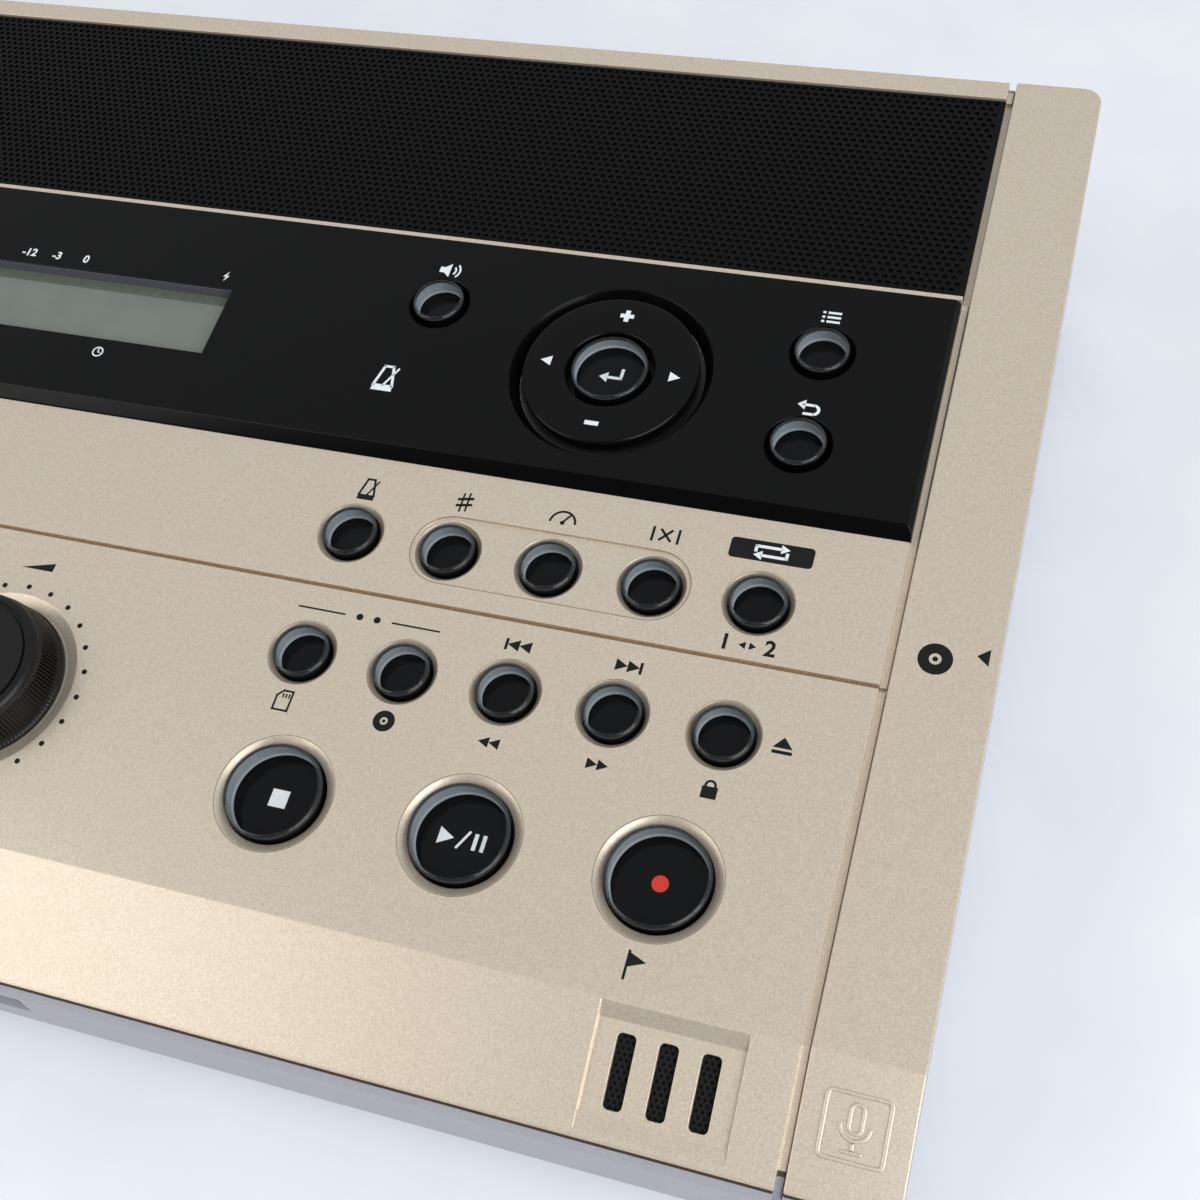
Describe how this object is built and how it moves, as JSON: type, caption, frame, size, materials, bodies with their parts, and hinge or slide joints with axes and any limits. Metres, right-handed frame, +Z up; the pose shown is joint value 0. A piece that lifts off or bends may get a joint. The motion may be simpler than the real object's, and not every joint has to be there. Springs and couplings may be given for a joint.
{
  "type": "portable disc recorder",
  "caption": "Flat table-top recorder with a tilted gold control panel, black display strip, speaker grille, round buttons, knobs and a side slot for discs.",
  "frame": {"origin": "on the table under the centre of the case", "axes": "+X to the user's right, +Y to the rear panel, +Z up"},
  "size_m": [0.346, 0.2354, 0.063],
  "materials": {
    "gold_case": "champagne sparkle paint on moulded plastic",
    "dark_case": "fine texture",
    "grille_metal": "black coating",
    "gloss_black": "polished",
    "display_glass": "clear",
    "module_metal": "plated",
    "black_plastic": "satin",
    "circuit_board": "solder mask",
    "pale_plastic": "plain",
    "foot_rubber": "matt",
    "screw_steel": "blackened",
    "drive_steel": "zinc plated",
    "rod_steel": "polished",
    "felt": "flocked",
    "black_foam": "perforated",
    "gold_plating": "plated"
  },
  "bodies": {
    "case": {"bottom_case": "dark_case", "upper_cover": "gold_case", "front_cover": "gold_case", "right_end_cap": "gold_case", "left_end_cap": "gold_case", "rear_panel": "dark_case", "speaker_grille": "grille_metal", "display_panel": "gloss_black", "display_glass": "display_glass", "display_module": "module_metal", "left_speaker": "black_plastic", "right_speaker": "black_plastic", "control_board": "circuit_board", "tact_switches": "pale_plastic", "main_board": "circuit_board", "rubber_feet": "foot_rubber", "case_screws": "screw_steel", "drive_chassis": "drive_steel", "drive_cover": "drive_steel", "drive_motors": "drive_steel", "guide_rods": "rod_steel", "slot_lips": "felt", "mic_meshes": "black_foam", "mic_capsules": "module_metal", "control_pots": "module_metal", "card_socket": "module_metal", "phones_jack": "black_plastic", "mic_jacks": "black_plastic", "line_jacks": "gold_plating", "data_socket": "module_metal", "supply_jack": "black_plastic", "power_switch": "black_plastic", "pad_cradle": "black_plastic"},
    "turntable": {"turntable": "black_plastic"},
    "pickup_sled": {"pickup_sled": "black_plastic"},
    "lead_screw": {"lead_screw": "rod_steel"},
    "loading_roller": {"loading_roller": "foot_rubber"},
    "volume_knob": {"volume_knob": "black_plastic"},
    "level_knob": {"level_knob": "black_plastic"},
    "power_button": {"power_button": "black_plastic"},
    "pad_rocker": {"pad_rocker": "black_plastic"},
    "cursor_pad": {"cursor_pad": "gloss_black"},
    "enter_button": {"enter_button": "gloss_black"},
    "metronome_button": {"metronome_button": "gloss_black"},
    "key_button": {"key_button": "gloss_black"},
    "speed_button": {"speed_button": "gloss_black"},
    "cancel_button": {"cancel_button": "gloss_black"},
    "repeat_button": {"repeat_button": "gloss_black"},
    "card_button": {"card_button": "gloss_black"},
    "disc_button": {"disc_button": "gloss_black"},
    "rewind_button": {"rewind_button": "gloss_black"},
    "forward_button": {"forward_button": "gloss_black"},
    "eject_button": {"eject_button": "gloss_black"},
    "input_button": {"input_button": "gloss_black"},
    "speaker_button": {"speaker_button": "gloss_black"},
    "menu_button": {"menu_button": "gloss_black"},
    "exit_button": {"exit_button": "gloss_black"},
    "stop_button": {"stop_button": "gloss_black"},
    "play_button": {"play_button": "gloss_black"},
    "record_button": {"record_button": "gloss_black"}
  },
  "joints": [
    {"name": "metronome_button_press", "type": "slide", "parent": "case", "child": "metronome_button", "axis": [0, 0.1045, -0.9945], "range_m": [0, 0.0008], "stiffness_N_per_m": 600, "springref_m": -0.0006},
    {"name": "key_button_press", "type": "slide", "parent": "case", "child": "key_button", "axis": [0, 0.1045, -0.9945], "range_m": [0, 0.0008], "stiffness_N_per_m": 600, "springref_m": -0.0006},
    {"name": "speed_button_press", "type": "slide", "parent": "case", "child": "speed_button", "axis": [0, 0.1045, -0.9945], "range_m": [0, 0.0008], "stiffness_N_per_m": 600, "springref_m": -0.0006},
    {"name": "cancel_button_press", "type": "slide", "parent": "case", "child": "cancel_button", "axis": [0, 0.1045, -0.9945], "range_m": [0, 0.0008], "stiffness_N_per_m": 600, "springref_m": -0.0006},
    {"name": "repeat_button_press", "type": "slide", "parent": "case", "child": "repeat_button", "axis": [0, 0.1045, -0.9945], "range_m": [0, 0.0008], "stiffness_N_per_m": 600, "springref_m": -0.0006},
    {"name": "card_button_press", "type": "slide", "parent": "case", "child": "card_button", "axis": [0, 0.1045, -0.9945], "range_m": [0, 0.0008], "stiffness_N_per_m": 600, "springref_m": -0.0006},
    {"name": "disc_button_press", "type": "slide", "parent": "case", "child": "disc_button", "axis": [0, 0.1045, -0.9945], "range_m": [0, 0.0008], "stiffness_N_per_m": 600, "springref_m": -0.0006},
    {"name": "rewind_button_press", "type": "slide", "parent": "case", "child": "rewind_button", "axis": [0, 0.1045, -0.9945], "range_m": [0, 0.0008], "stiffness_N_per_m": 600, "springref_m": -0.0006},
    {"name": "forward_button_press", "type": "slide", "parent": "case", "child": "forward_button", "axis": [0, 0.1045, -0.9945], "range_m": [0, 0.0008], "stiffness_N_per_m": 600, "springref_m": -0.0006},
    {"name": "eject_button_press", "type": "slide", "parent": "case", "child": "eject_button", "axis": [0, 0.1045, -0.9945], "range_m": [0, 0.0008], "stiffness_N_per_m": 600, "springref_m": -0.0006},
    {"name": "input_button_press", "type": "slide", "parent": "case", "child": "input_button", "axis": [0, 0.1045, -0.9945], "range_m": [0, 0.0008], "stiffness_N_per_m": 600, "springref_m": -0.0006},
    {"name": "speaker_button_press", "type": "slide", "parent": "case", "child": "speaker_button", "axis": [0, 0.1045, -0.9945], "range_m": [0, 0.0008], "stiffness_N_per_m": 600, "springref_m": -0.0006},
    {"name": "menu_button_press", "type": "slide", "parent": "case", "child": "menu_button", "axis": [0, 0.1045, -0.9945], "range_m": [0, 0.0008], "stiffness_N_per_m": 600, "springref_m": -0.0006},
    {"name": "exit_button_press", "type": "slide", "parent": "case", "child": "exit_button", "axis": [0, 0.1045, -0.9945], "range_m": [0, 0.0008], "stiffness_N_per_m": 600, "springref_m": -0.0006},
    {"name": "stop_button_press", "type": "slide", "parent": "case", "child": "stop_button", "axis": [0, 0.1045, -0.9945], "range_m": [0, 0.0008], "stiffness_N_per_m": 600, "springref_m": -0.0006},
    {"name": "play_button_press", "type": "slide", "parent": "case", "child": "play_button", "axis": [0, 0.1045, -0.9945], "range_m": [0, 0.0008], "stiffness_N_per_m": 600, "springref_m": -0.0006},
    {"name": "record_button_press", "type": "slide", "parent": "case", "child": "record_button", "axis": [0, 0.1045, -0.9945], "range_m": [0, 0.0008], "stiffness_N_per_m": 600, "springref_m": -0.0006},
    {"name": "enter_button_press", "type": "slide", "parent": "case", "child": "enter_button", "axis": [0, 0.1045, -0.9945], "range_m": [0, 0.0008], "stiffness_N_per_m": 600, "springref_m": -0.0006},
    {"name": "power_button_press", "type": "slide", "parent": "case", "child": "power_button", "axis": [0, -1, 0], "range_m": [0, 0.002], "stiffness_N_per_m": 500, "springref_m": -0.001},
    {"name": "volume_knob_turn", "type": "hinge", "parent": "case", "child": "volume_knob", "pos_m": [-0.0151, -0.06438, 0.04387], "axis": [0, -0.1045, 0.9945], "range_deg": [-147.5, 147.5]},
    {"name": "level_knob_turn", "type": "hinge", "parent": "case", "child": "level_knob", "pos_m": [-0.105, -0.06438, 0.04387], "axis": [0, -0.1045, 0.9945], "range_deg": [-147.5, 147.5]},
    {"name": "pad_fore_aft", "type": "hinge", "parent": "case", "child": "pad_rocker", "pos_m": [0.08766, 0.02668, 0.04942], "axis": [1, 0, 0], "range_deg": [-2.5, 2.5], "stiffness_Nm_per_rad": 0.6},
    {"name": "pad_left_right", "type": "hinge", "parent": "pad_rocker", "child": "cursor_pad", "pos_m": [0.08766, 0.02668, 0.04942], "axis": [0, 0.9945, 0.1045], "range_deg": [-2.5, 2.5], "stiffness_Nm_per_rad": 0.6},
    {"name": "turntable_spin", "type": "hinge", "parent": "case", "child": "turntable", "pos_m": [0.104, -0.02406, 0.01649], "axis": [0, 0, 1], "continuous": true},
    {"name": "sled_travel", "type": "slide", "parent": "case", "child": "pickup_sled", "axis": [-1, 0, 0], "range_m": [0, 0.033]},
    {"name": "screw_turn", "type": "hinge", "parent": "case", "child": "lead_screw", "pos_m": [0.074, 0.00294, 0.01469], "axis": [1, 0, 0], "continuous": true},
    {"name": "roller_turn", "type": "hinge", "parent": "case", "child": "loading_roller", "pos_m": [0.158, -0.02406, 0.01699], "axis": [0, 1, 0], "continuous": true}
  ],
  "couplings": [
    {"joint": "screw_turn", "follows": "sled_travel", "rad_per_m": 2094.4}
  ]
}
